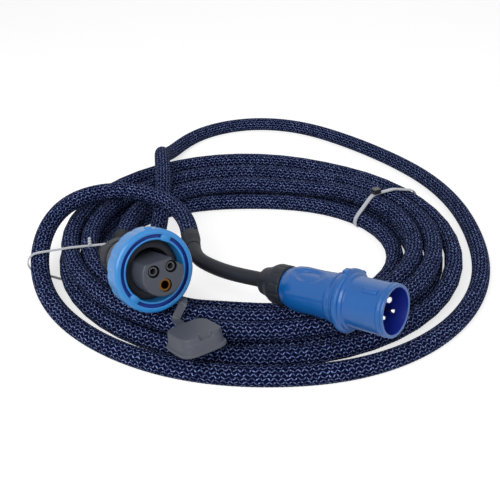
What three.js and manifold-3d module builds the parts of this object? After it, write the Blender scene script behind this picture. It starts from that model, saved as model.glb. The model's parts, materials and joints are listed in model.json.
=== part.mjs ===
// Shore power cord: sleeved cable piled in a coil, three-pin plug, three-hole connector with a
// locking ring, tethered cap, two ties. Millimetres, +Z up, floor at z = 0.
import * as THREE from 'three';
import { mergeVertices } from 'three/addons/utils/BufferGeometryUtils.js';
import Module from 'manifold-3d';

const wasm = await Module();
wasm.setup();

// ---- driving dimensions -------------------------------------------------------------------
const CLEAR = 0.3;            // between pieces that meet
const CORD_D = 18;            // cable in its braided sleeve
const BARE_D = 14;            // cable with only its shrink cover
const LANE_GAP = 0.8;         // between neighbouring strands of the coil
const FLOOR_CUT = CORD_D / 10; // flat under every strand that lies on the floor
const SHROUD_R = 21.9;        // plug shroud, outside
const SHROUD_WALL = 2.6;
const SHROUD_DEPTH = 36;      // rim to pin carrier
const FLANGE_R = 27.4;
const PIN_RING_R = 8.8;       // circle that the pins stand on
const PIN_R = 2.5, EARTH_PIN_R = 3.5;
const PLUG_LEN = 134.6;       // gland end to rim
const INSERT_R = 19;          // connector insert
const INSERT_FLAT = 12;       // flat top above the axis
const INSERT_OUT = 15;        // insert face ahead of the ring
const SOCKET_RING_R = 9.5;
const RING_R = 36.5;          // locking ring
const RING_IN_R = 26.8;
const RING_LEN = 20;
const CONN_LEN = 96;          // ring front to gland end
const TIE_T = 1.3;            // tie thickness

const PLUG_RIM = new THREE.Vector3(116, -200, 71.2);
const PLUG_DIR = new THREE.Vector3(0.759, -0.624, 0.18).normalize();
const CONN_FRONT = new THREE.Vector3(-80, -148, 76.5);
const CONN_DIR = new THREE.Vector3(0.539, -0.792, 0.287).normalize();
const CAP_MID = new THREE.Vector3(-45, -194, 41.5);

const STRAND_R = CORD_D / 2, BARE_R = BARE_D / 2;
const PITCH = CORD_D + LANE_GAP;
const FLOOR_Z = STRAND_R - FLOOR_CUT;

// ---- materials ----------------------------------------------------------------------------
const material = (color, roughness, metalness = 0) =>
  new THREE.MeshStandardMaterial({ color, roughness, metalness });
const sleeve = material(0x2a3050, 0.9), blackRubber = material(0x17181a, 0.7);
const blue = material(0x2a68b4, 0.45), ringBlue = material(0x4f92d2, 0.45);
const grey = material(0x66696c, 0.6), darkGrey = material(0x34373a, 0.6);
const nickel = material(0xb9bcc0, 0.3, 1), brass = material(0xb08d45, 0.35, 1);
const steel = material(0x8f9296, 0.35, 1), nylon = material(0x1c1d20, 0.5);
const wireColours = [material(0x6b3f22, 0.6), material(0x2f5fae, 0.6), material(0x5f8f2f, 0.6)];

// ---- solid helpers ------------------------------------------------------------------------
function clean(geometry) {
  const g = geometry.clone();
  g.deleteAttribute('normal');
  g.deleteAttribute('uv');
  return mergeVertices(g, 1e-4);
}

function solidOf(geometry) {
  const g = clean(geometry);
  return new wasm.Manifold(new wasm.Mesh({
    numProp: 3,
    vertProperties: new Float32Array(g.attributes.position.array),
    triVerts: new Uint32Array(g.index.array),
  }));
}

function geometryOf(solid) {
  const m = solid.getMesh();
  const g = new THREE.BufferGeometry();
  g.setAttribute('position', new THREE.BufferAttribute(new Float32Array(m.vertProperties), 3));
  g.setIndex(new THREE.BufferAttribute(new Uint32Array(m.triVerts), 1));
  return g;
}

const cut = (a, ...others) =>
  geometryOf(others.reduce((s, o) => s.subtract(solidOf(o)), solidOf(a)));
const join = (a, ...others) => geometryOf(others.reduce((s, o) => s.add(solidOf(o)), solidOf(a)));

/** Turned piece about +Z; profile is [radius, z] in order, closed by the helper. */
function turned(profile, segments = 40) {
  const pts = profile.map(([r, z]) => new THREE.Vector2(r, z));
  if (!(profile[0][0] === 0 && profile.at(-1)[0] === 0)) pts.push(pts[0].clone());
  let area = 0;
  for (let i = 0; i < pts.length - 1; i++) area += pts[i].x * pts[i + 1].y - pts[i + 1].x * pts[i].y;
  if (area < 0) pts.reverse();
  const g = new THREE.LatheGeometry(pts, segments);
  g.rotateX(Math.PI / 2);
  return clean(outward(g));
}

/** Turns every face outwards when the enclosed volume comes out negative. */
function outward(geometry) {
  const g = geometry.index ? geometry : clean(geometry);
  const p = g.attributes.position, ix = g.index.array;
  const a = new THREE.Vector3(), b = new THREE.Vector3(), c = new THREE.Vector3();
  let volume = 0;
  for (let i = 0; i < ix.length; i += 3) {
    a.fromBufferAttribute(p, ix[i]);
    b.fromBufferAttribute(p, ix[i + 1]);
    c.fromBufferAttribute(p, ix[i + 2]);
    volume += a.dot(b.clone().cross(c));
  }
  if (volume < 0) for (let i = 0; i < ix.length; i += 3) [ix[i], ix[i + 1]] = [ix[i + 1], ix[i]];
  return g;
}

/** Ring or tube with square ends. */
const annulus = (rin, rout, z0, z1, segments = 40) =>
  turned([[rin, z0], [rout, z0], [rout, z1], [rin, z1]], segments);

const rod = (r, z0, z1, segments = 24) => turned([[0, z0], [r, z0], [r, z1], [0, z1]], segments);

function block(cx, cy, cz, sx, sy, sz) {
  const g = new THREE.BoxGeometry(sx, sy, sz);
  g.translate(cx, cy, cz);
  return g;
}

/** Frame whose +Z is the given direction and whose +Y is as near world up as it can be. */
function frameAt(origin, dir) {
  const z = dir.clone().normalize();
  const y = new THREE.Vector3(0, 0, 1).addScaledVector(z, -z.z).normalize();
  const x = y.clone().cross(z);
  return new THREE.Matrix4().makeBasis(x, y, z).setPosition(origin);
}

const polar = (r, deg) => [r * Math.cos(deg * Math.PI / 180), r * Math.sin(deg * Math.PI / 180)];

// ---- curves -------------------------------------------------------------------------------
/** Uniform cubic B-spline with both end points held; starts and ends straight. */
class Spline extends THREE.Curve {
  constructor(points) {
    super();
    const first = points[0], last = points.at(-1);
    this.points = [first, first, ...points, last, last];
  }

  getPoint(t, target = new THREE.Vector3()) {
    const spans = this.points.length - 3;
    const at = Math.min(Math.max(t, 0), 1) * spans;
    const i = Math.min(Math.floor(at), spans - 1), u = at - i;
    const w = [(1 - u) ** 3, 3 * u ** 3 - 6 * u * u + 4, -3 * u ** 3 + 3 * u * u + 3 * u + 1, u ** 3];
    target.set(0, 0, 0);
    w.forEach((k, j) => target.addScaledVector(this.points[i + j], k / 6));
    return target;
  }
}

/** Tube through ring centres; upright frames, so a flat facet faces the floor. */
function tubeThrough(centres, radius, sides, squash = true) {
  const pos = [], idx = [], n = centres.length;
  const up = new THREE.Vector3(0, 0, 1);
  for (let i = 0; i < n; i++) {
    const t = centres[Math.min(i + 1, n - 1)].clone().sub(centres[Math.max(i - 1, 0)]).normalize();
    const side = t.clone().cross(up).normalize(), lift = side.clone().cross(t);
    for (let k = 0; k < sides; k++) {
      const a = (k + 0.5) * 2 * Math.PI / sides;
      const p = centres[i].clone().addScaledVector(side, radius * Math.cos(a))
        .addScaledVector(lift, radius * Math.sin(a));
      pos.push(p.x, p.y, squash ? Math.max(p.z, 0) : p.z);
    }
  }
  for (let i = 0; i < n - 1; i++) {
    for (let k = 0; k < sides; k++) {
      const a = i * sides + k, b = i * sides + (k + 1) % sides;
      idx.push(a, b, a + sides, b, b + sides, a + sides);
    }
  }
  for (let k = 1; k < sides - 1; k++) {
    idx.push(0, k + 1, k);
    const e = (n - 1) * sides;
    idx.push(e, e + k, e + k + 1);
  }
  const g = new THREE.BufferGeometry();
  g.setAttribute('position', new THREE.BufferAttribute(new Float32Array(pos), 3));
  g.setIndex(new THREE.BufferAttribute(new Uint32Array(idx), 1));
  return outward(g);
}

/** Tube along a free curve. */
function swept(curve, radius, steps, sides) {
  const shape = new THREE.Shape(Array.from({ length: sides }, (_, k) => {
    const a = (k + 0.5) * 2 * Math.PI / sides;
    return new THREE.Vector2(radius * Math.cos(a), radius * Math.sin(a));
  }));
  const g = new THREE.ExtrudeGeometry(shape, { steps, extrudePath: curve, bevelEnabled: false });
  return outward(clean(g));
}

// ---- the coil -----------------------------------------------------------------------------
const COIL = {
  start: 168,        // degrees, counted against the way the cord runs
  topTurns: 2.3,     // spirals out on top,
  turnBack: 0.5,     // comes down outside while the spiral reverses,
  lowTurns: 2.9222,  // and spirals in on the floor
  bulge: 4,          // extra room while it comes down
  pullIn: 12, pullTurns: 0.3, // the last stretch leaves the pile inwards,
  joinIn: 12.5, joinTurns: 0.2, // and the first one joins it from inside
  loosen: 17.7,      // lanes stand this much wider at the back
};
const rad = (deg) => deg * Math.PI / 180;
const clamp01 = (v) => Math.min(1, Math.max(0, v));
const smooth = (v) => v * v * (3 - 2 * v);
const COIL_TURNS = COIL.topTurns + COIL.turnBack + COIL.lowTurns;
const LOW_FROM = COIL.topTurns + COIL.turnBack;
const outerRadius = (f) => 197 + 6.5 * Math.cos(f) + 18.5 * Math.sin(f) + 3.5 * Math.cos(2 * f);
const laneStep = (f) => PITCH + COIL.loosen * ((1 + Math.sin(f)) / 2) ** 4;

function lane(t) {
  if (t < COIL.topTurns) return COIL.topTurns - t;
  const u = t - COIL.topTurns;
  return t < LOW_FROM ? -u + 2 * u * u : t - LOW_FROM;
}

const angleAt = (t) => rad(COIL.start - 360 * t);

function radiusAt(t) {
  const f = angleAt(t), turn = clamp01((t - COIL.topTurns) / COIL.turnBack);
  const leave = smooth(clamp01((t - COIL_TURNS + COIL.pullTurns) / COIL.pullTurns));
  return outerRadius(f) - lane(t) * laneStep(f) + COIL.bulge * Math.sin(Math.PI * turn) ** 2
    - COIL.pullIn * leave - COIL.joinIn * (1 - clamp01(t / COIL.joinTurns)) ** 2;
}

/** Height at which the top layer nests on the lanes below it. */
function nested(t) {
  const r = radiusAt(t);
  let z = FLOOR_Z;
  for (let k = 0; k < 9; k++) {
    const low = t + k;
    if (low < LOW_FROM || low > COIL_TURNS) continue;
    const u = Math.abs(radiusAt(low) - r);
    if (u < PITCH) z = Math.max(z, FLOOR_Z + Math.sqrt(PITCH * PITCH - u * u));
  }
  return z;
}

/** The nested height with its corners eased, never lower than the nest itself. */
function eased(t) {
  const reach = 12, step = 1 / 360;
  let sum = 0;
  for (let i = -reach; i <= reach; i++) {
    let high = 0;
    for (let j = -reach; j <= reach; j++) high = Math.max(high, nested(t + (i + j) * step));
    sum += high;
  }
  return sum / (2 * reach + 1);
}

const TOP_END_Z = eased(COIL.topTurns);

function coilPoint(t) {
  const f = angleAt(t), r = radiusAt(t);
  let z = FLOOR_Z;
  if (t < COIL.topTurns) z = eased(t);
  else if (t < LOW_FROM) {
    z = TOP_END_Z + (FLOOR_Z - TOP_END_Z) * smooth((t - COIL.topTurns) / COIL.turnBack);
  }
  return new THREE.Vector3(r * Math.cos(f), r * Math.sin(f), z);
}

function coilCentres(stepsPerTurn) {
  const n = Math.round(COIL_TURNS * stepsPerTurn);
  const pts = Array.from({ length: n + 1 }, (_, i) => coilPoint(i * COIL_TURNS / n));
  const back = coilPoint(0).sub(coilPoint(0.004)).setZ(0).normalize();
  const on = coilPoint(COIL_TURNS).sub(coilPoint(COIL_TURNS - 0.004)).normalize();
  pts.unshift(pts[0].clone().addScaledVector(back, CORD_D));
  pts.push(pts.at(-1).clone().addScaledVector(on, CORD_D));
  return { pts, back, on };
}

/** Least gap of a tube to itself, measured between its centre points. */
function leastGap(pts, radius, skip) {
  let least = Infinity;
  const run = [0];
  for (let i = 1; i < pts.length; i++) run.push(run[i - 1] + pts[i].distanceTo(pts[i - 1]));
  for (let i = 0; i < pts.length; i++) {
    for (let j = i + 1; j < pts.length; j++) {
      if (run[j] - run[i] > skip) least = Math.min(least, pts[i].distanceTo(pts[j]));
    }
  }
  return least - 2 * radius;
}

// ---- the free stretches, hand-chosen points -----------------------------------------------
const LOOSE = [
  [-66, -101, 7.2], [-94, -73, 7.2], [-105, -36, 7.2], [-103, 4, 8], [-98, 42, 22],
  [-97, 80, 45], [-101, 120, 51], [-106, 158, 49], [-110, 192, 42], [-113, 228, 22],
  [-106, 270, 8], [-86, 326, 7.2], [-44, 368, 7.2], [14, 386, 7.2], [76, 370, 7.2],
  [128, 325, 7.2], [176, 270, 7.2], [222, 200, 7.2], [246, 120, 7.2], [248, 30, 7.2],
  [236, -45, 7.2], [204, -111, 7.2], [154, -164, 7.2], [88, -197, 7.2], [15, -205, 7.2],
  [-56, -197, 7.2], [-122, -167, 7.2], [-177, -118, 8], [-208, -64, 15], [-215, -12, 35],
  [-201, 34, 48], [-168, 60, 52], [-124, 62, 52], [-86, 40, 50], [-65, 3, 47], [-60, -28, 45],
];
const COLLAR_LEN = 22;        // shrink collar where the sleeve ends

const centres = coilCentres(28);
const coilStart = centres.pts[0], coilEnd = centres.pts.at(-1);
const looseStart = coilEnd.clone().addScaledVector(centres.on, CLEAR);
const loose = new Spline([looseStart, looseStart.clone().addScaledVector(centres.on, 7),
  looseStart.clone().addScaledVector(centres.on, 16), ...LOOSE.map((p) => new THREE.Vector3(...p))]);
const looseEnd = loose.getPoint(1);
const LOOSE_STEPS = 76;
const looseDir = looseEnd.clone().sub(loose.getSpacedPoints(LOOSE_STEPS).at(-2)).normalize();

const plugFrame = frameAt(PLUG_RIM, PLUG_DIR);
const connFrame = frameAt(CONN_FRONT, CONN_DIR);
const along = (frame, x, y, z) => new THREE.Vector3(x, y, z).applyMatrix4(frame);

const PLUG_CABLE_Z = -PLUG_LEN + 38;   // where the cable ends inside the plug
const SEAL_FRONT = 28;         // front of a cable seal, from the gland's end
const CONN_CABLE_Z = -CONN_LEN + SEAL_FRONT + 6; // where the cable ends inside the connector
const INSERT_BACK = CONN_CABLE_Z + 17; // the conductors fan out behind the insert

const plugLeadStart = looseEnd.clone().addScaledVector(looseDir, COLLAR_LEN + 2 * CLEAR);
const plugLead = new Spline([
  plugLeadStart, plugLeadStart.clone().addScaledVector(looseDir, 12),
  new THREE.Vector3(-47, -74, 42), new THREE.Vector3(-22, -93, 41.2),
  along(plugFrame, 0, 0, -PLUG_LEN - 10), along(plugFrame, 0, 0, -PLUG_LEN + 6),
  along(plugFrame, 0, 0, -PLUG_LEN + 22), along(plugFrame, 0, 0, PLUG_CABLE_Z),
]);
const connLeadEnd = coilStart.clone().addScaledVector(centres.back, COLLAR_LEN + 2 * CLEAR);
const connLead = new Spline([
  along(connFrame, 0, 0, CONN_CABLE_Z), along(connFrame, 0, 0, -CONN_LEN + 18),
  along(connFrame, 0, 0, -CONN_LEN - 6), along(connFrame, 0, 0, -CONN_LEN - 22),
  connLeadEnd.clone().addScaledVector(centres.back, 18),
  connLeadEnd.clone().addScaledVector(centres.back, 7), connLeadEnd,
]);

// ---- scene --------------------------------------------------------------------------------
const part = new THREE.Group();
part.name = 'shore_power_cord';

function add(name, geometry, mat, frame = null) {
  const g = clean(geometry);
  if (frame) g.applyMatrix4(frame);
  g.computeVertexNormals();
  const mesh = new THREE.Mesh(g, mat);
  mesh.name = name;
  part.add(mesh);
  return mesh;
}

// ---- ties ---------------------------------------------------------------------------------
/** Strand sections (radius out, height) that cross the half plane at an angle. */
function sectionsAt(deg, curves, width) {
  const out = [], c = Math.cos(rad(deg)), s = Math.sin(rad(deg));
  for (const { pts, radius } of curves) {
    for (let i = 0; i < pts.length - 1; i++) {
      const a = pts[i], b = pts[i + 1];
      const da = a.y * c - a.x * s, db = b.y * c - b.x * s;
      if (da * db > 0 || a.x * c + a.y * s < 60) continue;
      const p = a.clone().lerp(b, da / (da - db || 1));
      const slant = Math.abs(db - da) / a.distanceTo(b);
      const drift = Math.sqrt(1 - slant * slant) / slant;
      out.push({ r: p.x * c + p.y * s, z: p.z, radius: radius / slant + drift * width / 2 });
    }
  }
  return out;
}

function hull(points) {
  const p = [...points].sort((a, b) => a[0] - b[0] || a[1] - b[1]);
  const half = (list) => {
    const h = [];
    for (const q of list) {
      while (h.length > 1) {
        const [a, b] = h.slice(-2);
        if ((b[0] - a[0]) * (q[1] - a[1]) - (b[1] - a[1]) * (q[0] - a[0]) > 1e-6) break;
        h.pop();
      }
      h.push(q);
    }
    h.pop();
    return h;
  };
  return [...half(p), ...half(p.reverse())];
}

const tieHull = (sections, grow, floor) => hull(sections.flatMap(({ r, z, radius }) =>
  Array.from({ length: 16 }, (_, k) => {
    const a = k * Math.PI / 8;
    return [r + (radius + grow) * Math.cos(a), Math.max(floor, z + (radius + grow) * Math.sin(a))];
  })));

const TIE_FLOOR = 0.25, TIE_ROOM = 1.15;
const tieFrame = (deg) => {
  const er = new THREE.Vector3(Math.cos(rad(deg)), Math.sin(rad(deg)), 0);
  const ez = new THREE.Vector3(0, 0, 1);
  return new THREE.Matrix4().makeBasis(er, ez, er.clone().cross(ez));
};

function tieLoop(sections, width) {
  const inner = tieHull(sections, TIE_ROOM, TIE_FLOOR + TIE_T);
  const outer = tieHull(sections, TIE_ROOM + TIE_T, TIE_FLOOR);
  const shape = new THREE.Shape(outer.map((p) => new THREE.Vector2(...p)));
  shape.holes.push(new THREE.Path(inner.map((p) => new THREE.Vector2(...p))));
  const g = new THREE.ExtrudeGeometry(shape, { depth: width, bevelEnabled: false });
  g.translate(0, 0, -width / 2);
  return outward(clean(g));
}

/** Groove under the strands in which the tie passes. */
const tieGroove = (width) => block(150, (TIE_FLOOR + TIE_T + CLEAR) / 2 - 2, 0,
  240, TIE_FLOOR + TIE_T + CLEAR + 4, width + 2 * CLEAR);

// ---- cord ---------------------------------------------------------------------------------
const RIGHT_BUNDLE = 226, LEFT_BUNDLE = 125; // the right tie holds what lies within, the left beyond
const RIGHT_TIE = 31, LEFT_TIE = 192, RIGHT_TIE_W = 4.6, LEFT_TIE_W = 2.4;
const TIE_HEAD = [9, 5.5, 7.5];

function buildCord() {
  const grooves = [[RIGHT_TIE, RIGHT_TIE_W], [LEFT_TIE, LEFT_TIE_W]].map(([deg, w]) => {
    const g = tieGroove(w);
    g.applyMatrix4(tieFrame(deg));
    return g;
  });
  add('cord_coil', cut(tubeThrough(centres.pts, STRAND_R, 8), ...grooves), sleeve);
  const looseCentres = loose.getSpacedPoints(LOOSE_STEPS);
  add('cord_loose_turn', cut(tubeThrough(looseCentres, STRAND_R, 8), ...grooves), sleeve);
  add('connector_lead', swept(connLead, BARE_R, 16, 10), blackRubber);
  add('plug_lead', swept(plugLead, BARE_R, 20, 10), blackRubber);
  const collar = turned([[0, 0], [STRAND_R, 0], [STRAND_R + 0.4, 1.5], [STRAND_R + 0.2, 9],
    [BARE_R + 0.8, 17], [BARE_R + 0.5, COLLAR_LEN], [0, COLLAR_LEN]], 20);
  add('sleeve_end_plug', collar, blackRubber,
    frameAt(looseEnd.clone().addScaledVector(looseDir, CLEAR), looseDir));
  add('sleeve_end_connector', collar, blackRubber,
    frameAt(coilStart.clone().addScaledVector(centres.back, CLEAR), centres.back));
  console.log('coil least gap', leastGap(coilCentres(96).pts, STRAND_R, 60).toFixed(2),
    'loose turn least gap', leastGap(loose.getSpacedPoints(400), STRAND_R, 60).toFixed(2));
}

function buildTies() {
  const curves = [{ pts: coilCentres(96).pts, radius: STRAND_R },
    { pts: loose.getSpacedPoints(500), radius: STRAND_R },
    { pts: connLead.getSpacedPoints(120), radius: BARE_R + 0.9 }];
  const right = sectionsAt(RIGHT_TIE, curves, RIGHT_TIE_W).filter(({ r }) => r < RIGHT_BUNDLE);
  const left = sectionsAt(LEFT_TIE, curves, LEFT_TIE_W).filter(({ r }) => r > LEFT_BUNDLE);
  add('right_tie_loop', tieLoop(right, RIGHT_TIE_W), nylon, tieFrame(RIGHT_TIE));
  add('left_tie_loop', tieLoop(left, LEFT_TIE_W), nylon, tieFrame(LEFT_TIE));
  const top = (sections) => sections.reduce((a, b) => (b.z + b.radius > a.z + a.radius ? b : a));
  const [hx, hy, hz] = TIE_HEAD;
  const rt = top(right), rz = rt.z + rt.radius + TIE_ROOM + TIE_T;
  add('right_tie_head', cut(block(rt.r, rz + CLEAR + hy / 2, 0, hx, hy, hz),
    block(rt.r - 2, rz + CLEAR + hy / 2 + 0.4, 0, hx, 1.7, RIGHT_TIE_W + 0.4)), nylon,
  tieFrame(RIGHT_TIE));
  const lt = top(left), lz = lt.z + lt.radius + TIE_ROOM + TIE_T;
  const twist = turned([[0, 0], [1.5, 0], [1.9, 1], [1.3, 2.6], [1.8, 4.2], [1.2, 5.8], [1.5, 7],
    [0.9, 8], [0, 8]], 14);
  twist.rotateX(-Math.PI / 2);
  twist.translate(lt.r, lz + CLEAR, 0);
  add('left_tie_twist', twist, nylon, tieFrame(LEFT_TIE));
}

// ---- plug ---------------------------------------------------------------------------------
const PIN_ANGLES = [205, -35, 85];      // line, neutral, earth
const pinRadius = (i) => (i === 2 ? EARTH_PIN_R : PIN_R);
const TERMINAL_LEN = 10, WIRE_R = 1.3, SCREW_R = 1.2;

/** Terminal that ends a pin or socket: wire bore from behind, screw from the side. */
function terminalCuts(deg, ringR, z0) {
  const [x, y] = polar(ringR, deg);
  const bore = rod(WIRE_R + CLEAR, z0 - TERMINAL_LEN - 1, z0 - 2, 10);
  bore.translate(x, y, 0);
  const hole = rod(SCREW_R + CLEAR, 0, 12, 10);
  hole.rotateY(Math.PI / 2);
  hole.rotateZ(rad(deg));
  hole.translate(x, y, z0 - TERMINAL_LEN / 2);
  return [bore, hole];
}

function terminalScrew(deg, ringR, z0, bodyR) {
  const g = turned([[0, WIRE_R + CLEAR], [SCREW_R, WIRE_R + CLEAR], [SCREW_R, bodyR + CLEAR],
    [SCREW_R + 0.8, bodyR + CLEAR], [SCREW_R + 0.8, bodyR + 1.6], [0, bodyR + 1.6]], 10);
  g.rotateY(Math.PI / 2);
  g.rotateZ(rad(deg));
  const [x, y] = polar(ringR, deg);
  g.translate(x, y, z0 - TERMINAL_LEN / 2);
  return g;
}

function conductor(deg, ringR, z0, cableZ) {
  const [x, y] = polar(ringR, deg), [u, v] = polar(3.1, deg);
  const p = (a, b, z) => new THREE.Vector3(a, b, z);
  const zb = z0 - TERMINAL_LEN;
  return swept(new Spline([p(x, y, z0 - 2.6), p(x, y, zb), p(x, y, zb - 3),
    p(x * 0.8 + u * 0.2, y * 0.8 + v * 0.2, zb - 7), p(u, v, cableZ + 6), p(u, v, cableZ + 3),
    p(u, v, cableZ + CLEAR)]), WIRE_R, 10, 6);
}

const SHROUD_IN = SHROUD_R - SHROUD_WALL, LIP_IN = SHROUD_IN - 1.4;
const FLANGE_Z = -SHROUD_DEPTH - 9;     // back of the flange
const CARRIER_BACK = -SHROUD_DEPTH - 20;
const SPIGOT_R = 13.2, SEAL_IN = BARE_R + CLEAR, SEAL_OUT = 9.6;

function gland(prefix, frame, endZ, mat) {
  const z = (v) => endZ + v;
  const nut = turned([[SEAL_IN + 0.3, z(0)], [11.4, z(0)], [12.4, z(1.2)], [14.2, z(12)],
    [17.2, z(19)], [18.4, z(21)], [18.4, z(27)], [17.6, z(28)], [SPIGOT_R + CLEAR, z(28)],
    [SPIGOT_R + CLEAR, z(18)], [10.6, z(16)], [SEAL_IN + 0.3, z(9)]], 32);
  const grips = Array.from({ length: 12 }, (_, k) => {
    const g = rod(1.5, endZ + 20, endZ + 29, 8);
    g.translate(...polar(19.3, k * 30), 0);
    return g;
  });
  add(`${prefix}_gland_nut`, cut(nut, ...grips), mat, frame);
  const cage = turned([[SEAL_IN, z(13.2)], [8.7, z(13.2)], [SEAL_OUT, z(15.6)], [SEAL_OUT, z(18)],
    [SEAL_IN, z(18)]], 24);
  const slots = [0, 60, 120].map((deg) => {
    const s = block(0, 0, z(14), 24, 1.2, 4);
    s.rotateZ(rad(deg));
    return s;
  });
  add(`${prefix}_gland_cage`, cut(cage, ...slots), darkGrey, frame);
  add(`${prefix}_gland_seal`, turned([[SEAL_IN, z(18.3)], [SEAL_OUT, z(18.3)], [SEAL_OUT, z(SEAL_FRONT - 1)],
    [9, z(SEAL_FRONT)], [SEAL_IN, z(SEAL_FRONT)]], 24), blackRubber, frame);
}

function buildPlug() {
  const F = plugFrame, D = -SHROUD_DEPTH;
  const shroud = turned([[SHROUD_IN, 0], [SHROUD_IN, D + 3], [LIP_IN, D + 2.2],
    [LIP_IN, D + CLEAR], [SHROUD_IN, D + CLEAR], [SHROUD_IN, FLANGE_Z - 2],
    [24, FLANGE_Z - 2], [FLANGE_R - 1, FLANGE_Z], [FLANGE_R, FLANGE_Z + 1], [FLANGE_R, FLANGE_Z + 4],
    [FLANGE_R - 1, FLANGE_Z + 5], [SHROUD_R + 0.6, FLANGE_Z + 5.6], [SHROUD_R, FLANGE_Z + 8],
    [SHROUD_R, -6.4], [SHROUD_R + 0.6, -5.8], [SHROUD_R + 0.6, -4.2], [SHROUD_R, -3.6],
    [SHROUD_R, -2.2], [SHROUD_R + 0.5, -1.6], [SHROUD_R + 0.2, 0]], 36);
  const key = block(0, FLANGE_R - 1.2, FLANGE_Z + 1.4, 7, 5, 5.6);
  const rib = block(0, SHROUD_R + 0.2, -16, 5, 2.4, 13);
  rib.rotateZ(rad(28));
  const keyway = block(0, -SHROUD_IN, -16, 4.2, 3, 36);
  add('plug_shroud', cut(join(shroud, key, rib), keyway), blue, F);

  const holes = PIN_ANGLES.map((deg, i) => {
    const h = rod(pinRadius(i) + CLEAR, CARRIER_BACK - 1, D + 1, 16);
    h.translate(...polar(PIN_RING_R, deg), 0);
    return h;
  });
  const housingIn = 16.6;
  add('plug_pin_carrier', cut(turned([[0, D], [LIP_IN - 2 * CLEAR, D],
    [LIP_IN - CLEAR, D - 0.6], [SHROUD_IN - CLEAR, D - 0.6], [SHROUD_IN - CLEAR, FLANGE_Z - 1.7],
    [housingIn - CLEAR, FLANGE_Z - 1.7], [housingIn - CLEAR, CARRIER_BACK], [0, CARRIER_BACK]], 32), ...holes), blue, F);

  const names = ['line', 'neutral', 'earth'];
  PIN_ANGLES.forEach((deg, i) => {
    const r = pinRadius(i), tip = -6 + (i === 2 ? 1.5 : 0), back = CARRIER_BACK - CLEAR;
    const bodyR = Math.max(r, PIN_R + 0.6) + 0.5;
    const pin = turned([[0, tip], [r * 0.55, tip], [r, tip - 2.2], [r, back], [bodyR, back],
      [bodyR, back - TERMINAL_LEN], [0, back - TERMINAL_LEN]], 18);
    pin.translate(...polar(PIN_RING_R, deg), 0);
    add(`plug_${names[i]}_pin`, cut(pin, ...terminalCuts(deg, PIN_RING_R, back)), nickel, F);
    add(`plug_${names[i]}_screw`, terminalScrew(deg, PIN_RING_R, back, bodyR), steel, F);
    add(`plug_${names[i]}_wire`, conductor(deg, PIN_RING_R, back, PLUG_CABLE_Z), wireColours[i], F);
  });

  const end = -PLUG_LEN, front = FLANGE_Z - 2 - CLEAR;
  const housing = turned([[housingIn, front], [20.8, front], [21.2, front - 1.5],
    [20.6, front - 8], [20, front - 26], [20.3, front - 44], [19.6, front - 50],
    [17, end + 28.6], [SPIGOT_R, end + 28.3], [SPIGOT_R, end + 18.4], [SEAL_OUT + CLEAR, end + 18.4],
    [SEAL_OUT + CLEAR, end + 30], [housingIn, end + 38]], 36);
  const dimple = new THREE.SphereGeometry(1, 18, 12);
  dimple.scale(7.6, 4.2, 10);
  dimple.rotateZ(rad(28));
  dimple.translate(...polar(22, 118), front - 36);
  add('plug_housing', cut(housing, dimple), blue, F);
  gland('plug', F, end, darkGrey);
}

// ---- connector ----------------------------------------------------------------------------
const SOCKET_ANGLES = [150, 30, -90];   // line, neutral, earth
const COLLAR_FACE = -12, BODY_FRONT = -RING_LEN - 3;
const RIB_Z = -15.5;
const GROOVE_R = RING_IN_R + 0.36 * (RING_R - RING_IN_R);

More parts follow.
